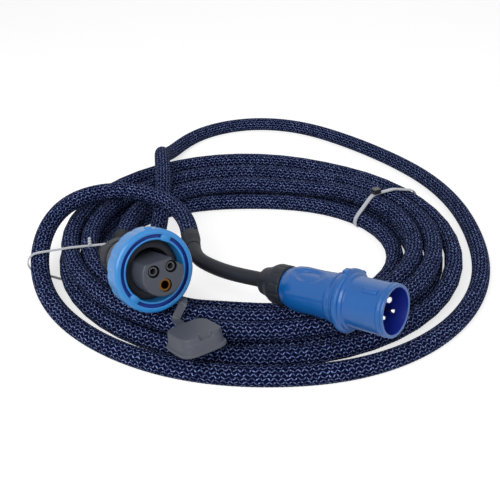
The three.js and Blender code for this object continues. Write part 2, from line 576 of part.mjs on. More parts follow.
function buildConnector() {
  const F = connFrame, back = INSERT_BACK;
  // insert with its flat top and one chamfered corner
  const holes = SOCKET_ANGLES.flatMap((deg, i) => {
    const wide = rod(i === 2 ? 5.8 : 5.4, INSERT_OUT - 6, INSERT_OUT + 1, 20);
    const deep = rod((i === 2 ? 5.2 : 3.9) + CLEAR, back - 1, INSERT_OUT, 20);
    return [wide, deep].map((g) => g.translate(...polar(SOCKET_RING_R, deg), 0));
  });
  const corner = block(0, 0, 0, 12, 20, 80);
  corner.rotateZ(rad(-42));
  corner.translate(20.4, 14.6, -10);
  add('connector_insert', cut(turned([[0, INSERT_OUT], [INSERT_R - 0.8, INSERT_OUT],
    [INSERT_R, INSERT_OUT - 0.8], [INSERT_R, back], [0, back]], 36),
  block(0, INSERT_FLAT + 10, 0, 60, 20, 120), corner, ...holes), grey, F);

  const names = ['line', 'neutral', 'earth'];
  SOCKET_ANGLES.forEach((deg, i) => {
    const rin = i === 2 ? EARTH_PIN_R + 0.2 : PIN_R + 0.15, rout = i === 2 ? 5.2 : 3.9;
    const top = INSERT_OUT - 1.6, z0 = back - CLEAR;
    const tube = turned([[0, top - 34], [rin, top - 34], [rin, top], [rout, top], [rout, z0],
      [rout, z0 - TERMINAL_LEN], [0, z0 - TERMINAL_LEN]], 20);
    tube.translate(...polar(SOCKET_RING_R, deg), 0);
    add(`connector_${names[i]}_socket`, cut(tube, ...terminalCuts(deg, SOCKET_RING_R, z0)), brass, F);
    const screw = terminalScrew(deg, SOCKET_RING_R, z0, rout);
    add(`connector_${names[i]}_screw`, screw, steel, F);
    add(`connector_${names[i]}_wire`, conductor(deg, SOCKET_RING_R, z0, CONN_CABLE_Z),
      wireColours[i], F);
  });

  // collar that carries the ring, gasket in front of it
  add('connector_collar', turned([[INSERT_R + CLEAR, COLLAR_FACE], [RING_IN_R - 0.5, COLLAR_FACE],
    [RING_IN_R - 0.5, RIB_Z + 1], [RING_IN_R + 0.9, RIB_Z], [RING_IN_R + 0.9, RIB_Z - 2],
    [RING_IN_R - 0.5, RIB_Z - 2.6], [RING_IN_R - 0.5, BODY_FRONT + CLEAR],
    [INSERT_R + CLEAR, BODY_FRONT + CLEAR]], 36), darkGrey, F);
  add('connector_face_seal', annulus(INSERT_R + 0.4, INSERT_R + 4.6, COLLAR_FACE + CLEAR,
    COLLAR_FACE + 2.6, 32), blackRubber, F);

  // locking ring: outer band, groove, inner rim, two lugs that bridge the groove
  const ring = turned([[RING_R - 1.6, 0], [GROOVE_R + 1.1, 0], [GROOVE_R + 1.1, -3.4],
    [GROOVE_R - 1.1, -3.4], [GROOVE_R - 1.1, -0.4],
    [RING_IN_R + 0.6, -0.4], [RING_IN_R, -1], [RING_IN_R, RIB_Z + 1.6], [RING_IN_R + 1.5, RIB_Z + 0.5],
    [RING_IN_R + 1.5, RIB_Z - 2.4], [RING_IN_R, RIB_Z - 3.2], [RING_IN_R, -RING_LEN],
    [RING_R - 2, -RING_LEN], [RING_R, -RING_LEN + 2], [RING_R, -1.6]], 44);
  const lugs = [58, 218].map((deg) => {
    const lug = block(GROOVE_R - 0.7, 0, -2.2, 6.6, 9, 4);
    lug.rotateZ(rad(deg));
    return lug;
  });
  const mark = block(RING_R, 0, -7, 3, 5, 6);
  mark.rotateZ(rad(84));
  const scallops = Array.from({ length: 16 }, (_, k) => {
    const g = rod(2.2, -RING_LEN + 1.2, -9, 8);
    g.translate(...polar(RING_R + 1.5, k * 22.5 + 11.25), 0);
    return g;
  });
  add('connector_locking_ring', cut(join(ring, ...lugs, mark), ...scallops), ringBlue, F);
  add('connector_ring_clip', annulus(RING_IN_R + 0.2, RING_IN_R + 0.59 * (RING_R - RING_IN_R),
    -RING_LEN - 2, -RING_LEN - CLEAR, 32), steel, F);

  const end = -CONN_LEN;
  const blind = rod(RIVET_R + CLEAR, 26, 40, 14);
  blind.rotateY(Math.PI / 2);
  blind.rotateZ(rad(STRAP_SIDE));
  blind.translate(0, 0, RIVET_Z);
  const taper = (share) => BODY_FRONT - share * (CONN_LEN - 28.6 + BODY_FRONT);
  add('connector_body', cut(turned([[INSERT_R + CLEAR, BODY_FRONT], [29, BODY_FRONT],
    [29.4, BODY_FRONT - 3], [28.4, taper(10 / 44.4)], [25.6, taper(20 / 44.4)],
    [21.8, taper(29 / 44.4)], [19, taper(36 / 44.4)], [18.4, taper(40 / 44.4)], [17, end + 28.6],
    [SPIGOT_R, end + 28.3], [SPIGOT_R, end + 18.4], [SEAL_OUT + CLEAR, end + 18.4],
    [SEAL_OUT + CLEAR, end + SEAL_FRONT + 1], [INSERT_R + CLEAR - 4, INSERT_BACK - 14],
    [INSERT_R + CLEAR, INSERT_BACK - 2]], 36), blind), grey, F);
  gland('connector', F, end, darkGrey);
}

// ---- cap ----------------------------------------------------------------------------------
const CAP_R = 23, CAP_H = 15;
const CAP_LEAN = 15;                    // degrees, top of the cap leans back onto the pile

const STRAP_W = 7, STRAP_T = 1.8, STRAP_SIDE = 300, RIVET_R = 1.3;
const STRAP_FLEX = new THREE.Vector3(-59.3, -170.2, 38.2);
const RIVET_Z = BODY_FRONT - 5.5;

/** Hole for the strap's rivet, square to the connector's axis, in world space. */
function rivetHole(r, from, to) {
  const g = rod(r, from, to, 14);
  g.rotateY(Math.PI / 2);
  g.rotateZ(rad(STRAP_SIDE));
  g.translate(0, 0, RIVET_Z);
  g.applyMatrix4(connFrame);
  return g;
}

function buildCap() {
  const heading = CONN_DIR.clone().setZ(0).normalize();
  const n = heading.clone().multiplyScalar(-Math.sin(rad(CAP_LEAN)))
    .add(new THREE.Vector3(0, 0, Math.cos(rad(CAP_LEAN))));
  const y = heading.clone().addScaledVector(n, -heading.dot(n)).normalize().negate();
  const F = new THREE.Matrix4().makeBasis(y.clone().cross(n), y, n).setPosition(CAP_MID);
  const h = CAP_H / 2;
  const cup = turned([[0, h], [12, h], [13.4, h - 1], [13.8, h - 4.6], [19.4, h - 5.4],
    [20.6, h - 6.6], [20.8, -h + 3.4], [CAP_R, -h + 2.8], [CAP_R, -h], [18.6, -h],
    [18.6, h - 8], [0, h - 8]], 32);
  const notch = block(0, -16.4, h, 9, 12, 3.4);
  // tab towards the flex line of the strap
  const local = STRAP_FLEX.clone().applyMatrix4(F.clone().invert());
  const reach = Math.hypot(local.x, local.y), deg = Math.atan2(local.y, local.x);
  const tabEnd = reach - 2.5 * CLEAR;
  const tab = block((12.8 + tabEnd) / 2, 0, local.z, tabEnd - 12.8, STRAP_W, STRAP_T);
  tab.rotateZ(deg);
  add('cap_body', cut(join(cup, tab), notch), darkGrey, F);
  const across = new THREE.Vector3(-Math.sin(deg), Math.cos(deg), 0).transformDirection(F);
  buildStrap(n, across);
  return { across };
}

/** Flat band from its rivet under the connector's body, below the ring, to the flex line. */
function buildStrap(capNormal, across) {
  const side = (r, z) => along(connFrame, ...polar(r, STRAP_SIDE), z);
  const out = side(1, 0).sub(side(0, 0));
  const seat = 29.4 + CLEAR + STRAP_T / 2, under = RING_R + 1.2 + STRAP_T / 2;
  const dir = across.clone().cross(capNormal).normalize();
  if (dir.dot(side(under, 0).sub(STRAP_FLEX)) < 0) dir.negate();
  const end = STRAP_FLEX.clone().addScaledVector(dir, CLEAR);
  const curve = new Spline([side(seat, BODY_FRONT - 9.5), side(seat, BODY_FRONT - 6),
    side(seat, BODY_FRONT - 3),
    side(seat + 1.4, BODY_FRONT), side(under, -RING_LEN + 0.5), side(under, -RING_LEN + 6),
    side(under, -7), side(under, -1), side(under - 1.5, 6),
    end.clone().addScaledVector(dir, 12), end.clone().addScaledVector(dir, 5), end]);
  const steps = 26, pos = [], idx = [];
  const w0 = CONN_DIR.clone().cross(out).normalize();
  const w1 = across.clone().multiplyScalar(Math.sign(across.dot(w0)));
  for (let i = 0; i <= steps; i++) {
    const u = i / steps, c = curve.getPointAt(u), t = curve.getTangentAt(u);
    const w = w0.clone().lerp(w1, smooth(u));
    w.addScaledVector(t, -w.dot(t)).normalize();
    const n = t.clone().cross(w);
    for (const [a, b] of [[-1, -1], [1, -1], [1, 1], [-1, 1]]) {
      const p = c.clone().addScaledVector(w, a * STRAP_W / 2).addScaledVector(n, b * STRAP_T / 2);
      pos.push(p.x, p.y, p.z);
    }
    if (i < steps) {
      for (let k = 0; k < 4; k++) {
        const a = i * 4 + k, b = i * 4 + (k + 1) % 4;
        idx.push(a, b, a + 4, b, b + 4, a + 4);
      }
    }
  }
  const e = steps * 4;
  idx.push(0, 2, 1, 0, 3, 2, e, e + 1, e + 2, e, e + 2, e + 3);
  const g = new THREE.BufferGeometry();
  g.setAttribute('position', new THREE.BufferAttribute(new Float32Array(pos), 3));
  g.setIndex(new THREE.BufferAttribute(new Uint32Array(idx), 1));
  const hole = rivetHole(RIVET_R + CLEAR, 20, 40);
  add('cap_strap', cut(outward(g), hole), darkGrey);
  const head = seat + STRAP_T / 2 + 2 * CLEAR;
  const rivet = turned([[0, 26.4], [RIVET_R, 26.4], [RIVET_R, head], [2.9, head], [2.7, head + 1],
    [0, head + 1.4]], 18);
  add('cap_strap_rivet', rivet.rotateY(Math.PI / 2).rotateZ(rad(STRAP_SIDE))
    .translate(0, 0, RIVET_Z), steel, connFrame);
}

buildCord();
buildTies();
buildPlug();
buildConnector();
const capHinge = buildCap();

// origin at the middle of the footprint, on the floor
const box = new THREE.Box3().setFromObject(part);
const mid = box.getCenter(new THREE.Vector3());
console.log('shift', (-mid.x).toFixed(3), (-mid.y).toFixed(3), (-box.min.z).toFixed(3),
  'size', box.getSize(new THREE.Vector3()).toArray().map((v) => v.toFixed(1)).join(' '));
for (const mesh of part.children) mesh.geometry.translate(-mid.x, -mid.y, -box.min.z);
const local = (p) => p.clone().sub(new THREE.Vector3(mid.x, mid.y, box.min.z)).toArray()
  .map((v) => v.toFixed(3)).join(' ');
console.log('plug rim', local(PLUG_RIM), 'ring centre', local(CONN_FRONT), 'flex', local(STRAP_FLEX),
  'flex axis', capHinge.across.toArray().map((v) => v.toFixed(4)).join(' '));

export default part;
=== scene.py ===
"""Shore power cord: braided cable, three-pin plug, locking connector, cap and ties."""

import json
import logging
import math
from dataclasses import dataclass, field
from enum import Enum
from functools import partial
from typing import Callable, Sequence

import bmesh
import bpy
import numpy as np
from mathutils import Matrix, Vector


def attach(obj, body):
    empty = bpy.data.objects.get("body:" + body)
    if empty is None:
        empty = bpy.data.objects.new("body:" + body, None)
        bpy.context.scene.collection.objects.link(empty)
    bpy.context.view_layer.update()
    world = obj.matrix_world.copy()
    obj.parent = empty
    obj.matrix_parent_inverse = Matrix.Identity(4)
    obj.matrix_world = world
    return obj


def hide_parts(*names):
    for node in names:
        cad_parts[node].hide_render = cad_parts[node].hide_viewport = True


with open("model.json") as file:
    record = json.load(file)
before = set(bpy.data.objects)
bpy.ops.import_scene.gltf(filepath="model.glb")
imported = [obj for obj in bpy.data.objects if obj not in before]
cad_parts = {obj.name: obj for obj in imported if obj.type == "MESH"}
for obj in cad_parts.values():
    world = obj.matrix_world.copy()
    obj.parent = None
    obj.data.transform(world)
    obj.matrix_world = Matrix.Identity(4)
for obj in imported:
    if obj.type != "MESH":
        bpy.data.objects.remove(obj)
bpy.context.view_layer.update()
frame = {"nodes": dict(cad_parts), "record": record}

LOG = logging.getLogger("shore_power_cord")
MM = 0.001
SHIFT = Vector((-16.490, -85.127, 0.0))  # from the middle of the coil to the part's origin, mm
WHITE = (1.0, 1.0, 1.0, 1.0)
TINY = 1e-6
Array = np.ndarray
Node = bpy.types.Node
Object = bpy.types.Object
Socket = bpy.types.NodeSocket
Colour = tuple[int, int, int]
Point = tuple[float, float, float]
Profile = Sequence[tuple[float, float]]
Swell = Callable[[Array, float, float], Array]


class Slot(Enum):
    """The record's material slots."""

    SLEEVE = "cord_sleeve"
    BLACK_RUBBER = "black_rubber"
    PLUG_BLUE = "plug_blue"
    RING_BLUE = "ring_blue"
    GREY = "grey_moulding"
    DARK = "dark_moulding"
    NICKEL = "nickel_pin"
    BRASS = "socket_brass"
    STEEL = "screw_steel"
    NYLON = "tie_nylon"
    CAP = "cap_rubber"
    BROWN_WIRE = "wire_brown"
    BLUE_WIRE = "wire_blue"
    GREEN_WIRE = "wire_green"


class Body(Enum):
    """The bodies of the frame that pieces ride on."""

    CORD = "cord"
    RING = "locking_ring"
    CAP = "cap"


# ---- node trees ----


class Tree:
    """Short-hand for building a shader or geometry node tree."""

    def __init__(self, tree: bpy.types.NodeTree) -> None:
        """Keeps the tree and empties it."""
        self.tree = tree
        tree.nodes.clear()

    def node(self, kind: str, inputs: dict[str | int, object] | None = None,
             **settings: object) -> Node:
        """Adds a node.

        Args:
            kind: Blender's type name of the node.
            inputs: What goes in: a socket, a node (its first output) or a plain value.
            **settings: Properties to set on it.

        Returns:
            The new node.
        """
        made = self.tree.nodes.new(kind)
        for key, value in settings.items():
            setattr(made, key, value)
        for key, source in (inputs or {}).items():
            if isinstance(source, Node):
                source = source.outputs[0]
            if isinstance(source, Socket):
                self.tree.links.new(source, made.inputs[key])
            else:
                made.inputs[key].default_value = source
        return made

    def math(self, operation: str, *values: object) -> Socket:
        """The result of a Math node on sockets or numbers."""
        return self.node("ShaderNodeMath", dict(enumerate(values)), operation=operation).outputs[0]

    def mix(self, factor: object, low: object, high: object) -> Socket:
        """Two colours, mixed by the share of the second."""
        inputs = {"Factor": factor, 6: low, 7: high}
        return self.node("ShaderNodeMix", inputs, data_type="RGBA").outputs[2]

    def noise(self, scale: float, detail: float = 2.0) -> Node:
        """Noise over the piece, about 0 to 1."""
        place = self.node("ShaderNodeTexCoord").outputs["Object"]
        return self.node("ShaderNodeTexNoise", {"Vector": place, "Scale": scale, "Detail": detail})

    def bump(self, height: Socket, strength: float, depth: float) -> Node:
        """A bump of this depth in metres."""
        return self.node("ShaderNodeBump",
                         {"Strength": strength, "Distance": depth, "Height": height})

    def seen(self) -> Socket:
        """1 where the camera sees the surface, straight or in a mirror, otherwise 0."""
        rays = self.node("ShaderNodeLightPath").outputs
        return self.math("MAXIMUM", rays["Is Camera Ray"], self.math(
            "MAXIMUM", rays["Is Glossy Ray"], rays["Is Transmission Ray"]))


def rgba(colour: Colour, gain: float = 1.0) -> tuple[float, float, float, float]:
    """Turns a 0-255 screen colour into a linear colour, times a factor."""
    linear = [((c / 255 + 0.055) / 1.055) ** 2.4 if c > 10 else c / 255 / 12.92 for c in colour]
    return (*[min(1.0, c * gain) for c in linear], 1.0)


class Finish:
    """What a piece's surface looks like."""

    name: str

    def shader(self, t: Tree) -> Node:
        """Builds the shader; each finish has its own."""
        raise NotImplementedError

    def make(self) -> bpy.types.Material:
        """Builds the material.

        Returns:
            The material, made once and used by every piece of this finish.
        """
        if self.name not in bpy.data.materials:
            mat = bpy.data.materials.new(self.name)
            mat.use_nodes = True
            t = Tree(mat.node_tree)
            t.node("ShaderNodeOutputMaterial", {"Surface": self.shader(t)})
        return bpy.data.materials[self.name]


# ---- finishes ----


@dataclass(frozen=True)
class Moulding(Finish):
    """Moulded plastic, rubber or plated metal: fine grain, faint mottling, soft sheen."""

    name: str
    colour: Colour
    roughness: float = 0.45
    specular: float = 0.5
    grain: float = 0.12
    grain_scale: float = 900.0
    metallic: float = 0.0
    cloud_scale: float = 60.0
    cloud_detail: float = 3.0
    mottle: float = 0.06  # share by which the colour varies
    uneven: float = 0.05  # by which the roughness varies
    grain_depth: float = 0.0004  # m

    def shader(self, t: Tree) -> Node:
        """Builds the shader.

        Args:
            t: The material's tree.

        Returns:
            The shader node.
        """
        cloud = t.noise(self.cloud_scale, self.cloud_detail)
        dark, light = rgba(self.colour, 1 - self.mottle), rgba(self.colour, 1 + self.mottle)
        looks = {"Base Color": t.mix(cloud, dark, light),
                 "Roughness": t.node("ShaderNodeMapRange", {
                     "Value": cloud, "To Min": max(0.05, self.roughness - self.uneven),
                     "To Max": min(1.0, self.roughness + self.uneven)}),
                 "Metallic": self.metallic, "Specular IOR Level": self.specular}
        if self.grain:
            looks["Normal"] = t.bump(t.noise(self.grain_scale), self.grain, self.grain_depth)
        return t.node("ShaderNodeBsdfPrincipled", looks)


@dataclass(frozen=True)
class Braid(Finish):
    """Braided sleeve: pale picks that zigzag over navy, laid out on the piece's own UV map."""

    name: str = "braided navy sleeve"
    gap: Colour = (2, 4, 20)
    dark: Colour = (5, 13, 52)
    pale: Colour = (152, 174, 236)
    cell: float = 0.0031  # from pick to pick along the cord, m
    rows: int = 16  # rows of picks round the cord
    girth: float = 0.0565  # way round the cord, m
    pick: tuple[float, float] = (0.0032, 0.0008)  # length and width of a pick, m
    depth: float = 0.0006  # m
    relief: float = 0.7
    roughness: float = 0.85
    specular: float = 0.05
    diagonal: float = 0.7071  # a pick lies at 45 degrees
    edge: tuple[float, float] = (1.3, 0.6)  # where a pick's edge fades, of its half width
    jitter_scale: float = 300.0
    jitter: float = 1.3  # cells by which picks stray
    wear_scale: float = 520.0
    wear: tuple[float, float, float] = (3.0, -1.05, 0.12)  # gain, offset, least
    ground_scale: float = 900.0

    def shader(self, t: Tree) -> Node:
        """Builds the shader.

        Args:
            t: The material's tree.

        Returns:
            The shader node.
        """
        mul, add, sub = (partial(t.math, kind) for kind in ("MULTIPLY", "ADD", "SUBTRACT"))
        uv = t.node("ShaderNodeSeparateXYZ", {0: t.node("ShaderNodeUVMap", uv_map="UVMap")}).outputs

        def within(value: Socket, size: float) -> Node:
            """1 inside this size about the middle, fading to 0 outside it."""
            return t.node("ShaderNodeMapRange", {
                "Value": value, "From Min": size / 2 * self.edge[0],
                "From Max": size / 2 * self.edge[1]}, interpolation_type="SMOOTHSTEP")

        def centred(value: Socket, size: float) -> Socket:
            """Distance from the middle of the cell, in metres."""
            return mul(sub(t.math("FRACT", value), 0.5), size)

        row_at = mul(uv[1], float(self.rows))
        row = t.math("FLOOR", row_at)
        stray = mul(sub(t.noise(self.jitter_scale), 0.5), self.jitter)
        cell_at = add(add(t.math("DIVIDE", uv[0], self.cell), stray),
                      mul(t.math("FLOORED_MODULO", row, 2.0), 0.5))
        x, y = centred(cell_at, self.cell), centred(row_at, self.girth / self.rows)
        # neighbours lean to opposite sides
        way = t.math("FLOORED_MODULO", add(row, t.math("FLOOR", cell_at)), 2.0)
        lean = mul(sub(mul(way, 2.0), 1.0), y)
        along, across = (t.math("ABSOLUTE", mul(step(x, lean), self.diagonal))
                         for step in (add, sub))
        height = mul(within(along, self.pick[0]), within(across, self.pick[1]))
        gain, offset, least = self.wear
        worn = add(offset, mul(t.noise(self.wear_scale), gain))
        worn = t.math("MINIMUM", t.math("MAXIMUM", worn, least), 1.0)
        ground = t.mix(t.noise(self.ground_scale), rgba(self.gap), rgba(self.dark))
        return t.node("ShaderNodeBsdfPrincipled", {
            "Base Color": t.mix(mul(height, worn), ground, rgba(self.pale)),
            "Roughness": self.roughness, "Specular IOR Level": self.specular,
            "Normal": t.bump(height, self.relief, self.depth)})


@dataclass(frozen=True)
class FloorPaint(Finish):
    """Grey paint that shows white to the camera away from the object, with the shadow kept."""

    name: str = "floor paint"
    glow: float = 0.64  # share of plain white that the camera sees
    grey: float = 0.6

    def shader(self, t: Tree) -> Node:
        """Builds the shader.

        Args:
            t: The material's tree.

        Returns:
            The shader node.
        """
        paint = t.node("ShaderNodeBsdfDiffuse", {"Color": (self.grey, self.grey, self.grey, 1)})
        glow = t.node("ShaderNodeEmission", {
            "Color": WHITE, "Strength": t.math("MULTIPLY", t.seen(), self.glow)})
        return t.node("ShaderNodeAddShader", {0: paint, 1: glow})


FINISH: dict[Slot, Finish] = {
    Slot.SLEEVE: Braid(),
    Slot.BLACK_RUBBER: Moulding("black shrink cover", (36, 39, 46), 0.5, 0.2, 0.3, 500.0),
    Slot.PLUG_BLUE: Moulding("plug blue", (12, 90, 164), 0.24, 0.5, 0.05),
    Slot.RING_BLUE: Moulding("ring blue", (40, 132, 204), 0.24, 0.5, 0.05),
    Slot.GREY: Moulding("grey moulding", (68, 72, 82), 0.45, 0.3, 0.1),
    Slot.DARK: Moulding("dark moulding", (34, 38, 46), 0.45, 0.22, 0.15),
    Slot.NICKEL: Moulding("nickel plate", (226, 228, 232), 0.16, 0.5, 0.0, metallic=1.0),
    Slot.BRASS: Moulding("bright brass", (112, 76, 38), 0.3, 0.5, 0.02, metallic=1.0),
    Slot.STEEL: Moulding("zinc plated steel", (176, 178, 180), 0.32, 0.5, 0.05, metallic=1.0),
    Slot.NYLON: Moulding("black nylon", (34, 36, 42), 0.35, 0.5, 0.03),
    Slot.CAP: Moulding("cap rubber", (76, 80, 90), 0.5, 0.3, 0.12),
    Slot.BROWN_WIRE: Moulding("brown insulation", (96, 56, 32), 0.4, 0.5, 0.0),
    Slot.BLUE_WIRE: Moulding("blue insulation", (40, 92, 176), 0.4, 0.5, 0.0),
    Slot.GREEN_WIRE: Moulding("green insulation", (96, 140, 52), 0.4, 0.5, 0.0),
}
# painted shade: a deeper blue for the inside of the plug's shroud and its pin carrier
SHROUD_SHADE_BLUE = Moulding("plug blue painted shade", (14, 34, 132), 0.4, 0.4, 0.05)
PALE_TIE = Moulding("pale nylon", (196, 199, 206), 0.4, 0.5, 0.05)
# painted shade: a dark grey for the line and neutral sockets down in their holes
SHADED_STEEL = Moulding("socket steel painted shade", (60, 62, 68), 0.35, 0.5, 0.0)
# painted shade: a deeper blue for the bottom and walls of the ring's groove
GROOVE_SHADE_BLUE = Moulding("ring blue painted groove shade", (16, 52, 148), 0.4, 0.3, 0.0)
# painted shade: near black for the holes in the connector's face
PAINTED_HOLE_SHADE = Moulding("socket recess painted shade", (14, 15, 18), 0.6, 0.1, 0.0)
OWN_FINISH: dict[str, Finish] = {
    # painted shade: the pin carrier deep inside the shroud
    "plug_pin_carrier": SHROUD_SHADE_BLUE,
    **dict.fromkeys(("right_tie_loop", "left_tie_loop", "left_tie_twist"), PALE_TIE),
    # painted shade: the line and neutral sockets down in their holes
    **dict.fromkeys(("connector_line_socket", "connector_neutral_socket"), SHADED_STEEL),
}


# ---- meshes ----


def new_object(name: str, data: bpy.types.ID) -> Object:
    """Puts data in the scene.

    Args:
        name: The object's name.
        data: Its mesh, curve, lamp or camera.

    Returns:
        The new object, at the origin.
    """
    obj = bpy.data.objects.new(name, data)
    bpy.context.scene.collection.objects.link(obj)
    return obj


def finished(obj: Object, slot: Slot, *nodes: str, body: Body = Body.CORD,
             finish: Finish | None = None) -> Object:
    """Gives a piece its finish and its place in the frame.

    Args:
        obj: The piece.
        slot: Its material slot.
        *nodes: CAD nodes that it stands for.
        body: The CAD body that it rides on.
        finish: Its own finish, where it isn't the slot's.

    Returns:
        The same piece.
    """
    obj.data.materials.clear()
    obj.data.materials.append((finish or FINISH[slot]).make())
    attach(obj, body.value)
    if nodes:
        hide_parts(*nodes)
    LOG.info("%s: %d faces, on %s", obj.name, len(obj.data.polygons), body.value)
    return obj


@dataclass
class Shape:
    """Vertices and faces of a piece, in its sub-assembly's millimetres."""

    verts: Array
    faces: list[tuple[int, ...]]

    def __add__(self, other: "Shape") -> "Shape":
        """Both shapes side by side in one mesh."""
        more = [tuple(i + len(self.verts) for i in face) for face in other.faces]
        return Shape(np.vstack([self.verts, other.verts]), self.faces + more)

    def moved(self, matrix: Matrix) -> "Shape":
        """The shape after a matrix."""
        m = np.array(matrix)
        return Shape(self.verts @ m[:3, :3].T + m[:3, 3], self.faces)

    def spun(self, degrees: float) -> "Shape":
        """The shape turned about its axis."""
        return self.moved(Matrix.Rotation(math.radians(degrees), 4, "Z"))

    def out(self, radius: float, degrees: float) -> "Shape":
        """The shape moved out from the axis, without turning."""
        f = math.radians(degrees)
        return self.moved(Matrix.Translation((radius * math.cos(f), radius * math.sin(f), 0)))

    def placed(self, name: str, place: "Placed", sharp: float = 32.0) -> Object:
        """Makes the object in its place.

        Args:
            name: The piece's name.
            place: The sub-assembly's place.
            sharp: Edges that turn by more degrees than this stay sharp.

        Returns:
            The new object.
        """
        mesh = bpy.data.meshes.new(name)
        mesh.from_pydata(self.moved(place.matrix).verts.tolist(), [], self.faces)
        work = bmesh.new()
        work.from_mesh(mesh)
        bmesh.ops.recalc_face_normals(work, faces=work.faces)
        work.to_mesh(mesh)
        work.free()
        mesh.shade_smooth()
        mesh.set_sharp_from_angle(angle=math.radians(sharp))
        return new_object(name, mesh)


def eased_outline(outline: Profile, round_off: float, closed: bool) -> list[tuple[float, float]]:
    """Rounds the corners of an outline.

    Args:
        outline: Radius and height of each corner.
        round_off: Length cut from each side of a corner, at most.
        closed: Whether the last corner joins the first.

    Returns:
        The finer outline.
    """
    straight, share = 172, 0.4  # degrees that count as no corner, most of a side that is cut
    pts = [np.array(p, float) for p in outline]
    result: list[tuple[float, float]] = []
    for i, p in enumerate(pts):
        a, b = pts[i - 1] - p, pts[(i + 1) % len(pts)] - p
        la, lb = np.linalg.norm(a), np.linalg.norm(b)
        turn = math.degrees(math.acos(max(-1.0, min(1.0, float(a @ b / (la * lb))))))
        if turn > straight or not closed and i in (0, len(pts) - 1):
            result.append(tuple(p))
            continue
        cut = min(round_off, share * la, share * lb)
        p0, p1 = p + a / la * cut, p + b / lb * cut
        for s in (0.0, 0.33, 0.67, 1.0):
            result.append(tuple((1 - s) ** 2 * p0 + 2 * s * (1 - s) * p + s * s * p1))
    return result


def turned(outline: Profile, steps: int = 96, round_off: float = 0.5,
           swell: Swell | None = None) -> Shape:
    """Swings an outline about the axis.

    Args:
        outline: Radius and height of each corner; a closed loop unless it starts on the axis.
        steps: Faces round the axis.
        round_off: Rounding of the corners.
        swell: Gives the radii at the angles, from the angles, the radius and the height.

    Returns:
        The turned shape.
    """
    closed = outline[0][0] > TINY
    angles = np.linspace(0, 2 * np.pi, steps, endpoint=False)
    verts: list[Array] = []
    rings: list[list[int]] = []
    for r, z in eased_outline(outline, round_off, closed):
        start = len(verts)
        if r < TINY:
            verts.append(np.array([0.0, 0.0, z]))
            rings.append([start] * steps)
            continue
        radii = swell(angles, r, z) if swell else np.full(steps, r)
        heights = np.full(steps, z)
        verts.extend(np.stack([radii * np.cos(angles), radii * np.sin(angles), heights], 1))
        rings.append(list(range(start, start + steps)))
    pairs = list(zip(rings, rings[1:])) + ([(rings[-1], rings[0])] if closed else [])
    faces: list[tuple[int, ...]] = []
    for low, high in pairs:
        for k in range(steps):
            face = (low[k], low[(k + 1) % steps], high[(k + 1) % steps], high[k])
            faces.append(tuple(dict.fromkeys(face)))
    return Shape(np.array(verts), faces)


def rounded_block(centre: Point, size: Point, round_off: float = 0.8) -> Shape:
    """A block with rounded edges.

    Args:
        centre: Its middle.
        size: Its three sizes.
        round_off: Rounding of the edges.

    Returns:
        The block.
    """
    work = bmesh.new()
    matrix = Matrix.Translation(centre) @ Matrix.Diagonal((*size, 1))
    bmesh.ops.create_cube(work, size=1.0, matrix=matrix)
    bmesh.ops.bevel(work, geom=work.edges[:], offset=min(round_off, 0.45 * min(size)),
                    segments=3, profile=0.5, affect="EDGES")
    work.verts.ensure_lookup_table()
    shape = Shape(np.array([v.co[:] for v in work.verts]),
                  [tuple(v.index for v in face.verts) for face in work.faces])
    work.free()
    return shape


def carved(obj: Object, cutter: Object) -> Object:
    """Cuts another object out of a piece and removes it.

    Args:
        obj: The piece.
        cutter: What is cut away.

    Returns:
        The same piece, with a plain mesh.
    """
    modifier = obj.modifiers.new("cut", "BOOLEAN")
    modifier.object, modifier.operation, modifier.solver = cutter, "DIFFERENCE", "EXACT"
    ready = obj.evaluated_get(bpy.context.evaluated_depsgraph_get())
    mesh = bpy.data.meshes.new_from_object(ready)
    obj.modifiers.clear()
    obj.data = mesh
    bpy.data.objects.remove(cutter)
    return obj


@dataclass(frozen=True)
class Placed:
    """A place and direction, with +Y as near up as it can be. Millimetres about the coil."""

    origin: Point
    direction: Point

    @property
    def matrix(self) -> Matrix:
        """From the sub-assembly's own millimetres to the frame's metres.

        Returns:
            The matrix.
        """
        z = Vector(self.direction).normalized()
        y = (Vector((0, 0, 1)) - z * z.z).normalized()
        x = y.cross(z)
        place = (Vector(self.origin) + SHIFT) * MM
        turn = Matrix((x, y, z)).transposed().to_4x4()
        return Matrix.Translation(place) @ turn @ Matrix.Scale(MM, 4)

    def at(self, z: float) -> Array:
        """A point of the axis, in millimetres about the coil."""
        return np.array((self.matrix @ Vector((0, 0, z))) / MM - SHIFT)


PLUG_PLACE = Placed((116, -200, 71.2), (0.759, -0.624, 0.18))
CONN_PLACE = Placed((-80, -148, 76.5), (0.539, -0.792, 0.287))


# ---- the cord's route, as the CAD source has it ----


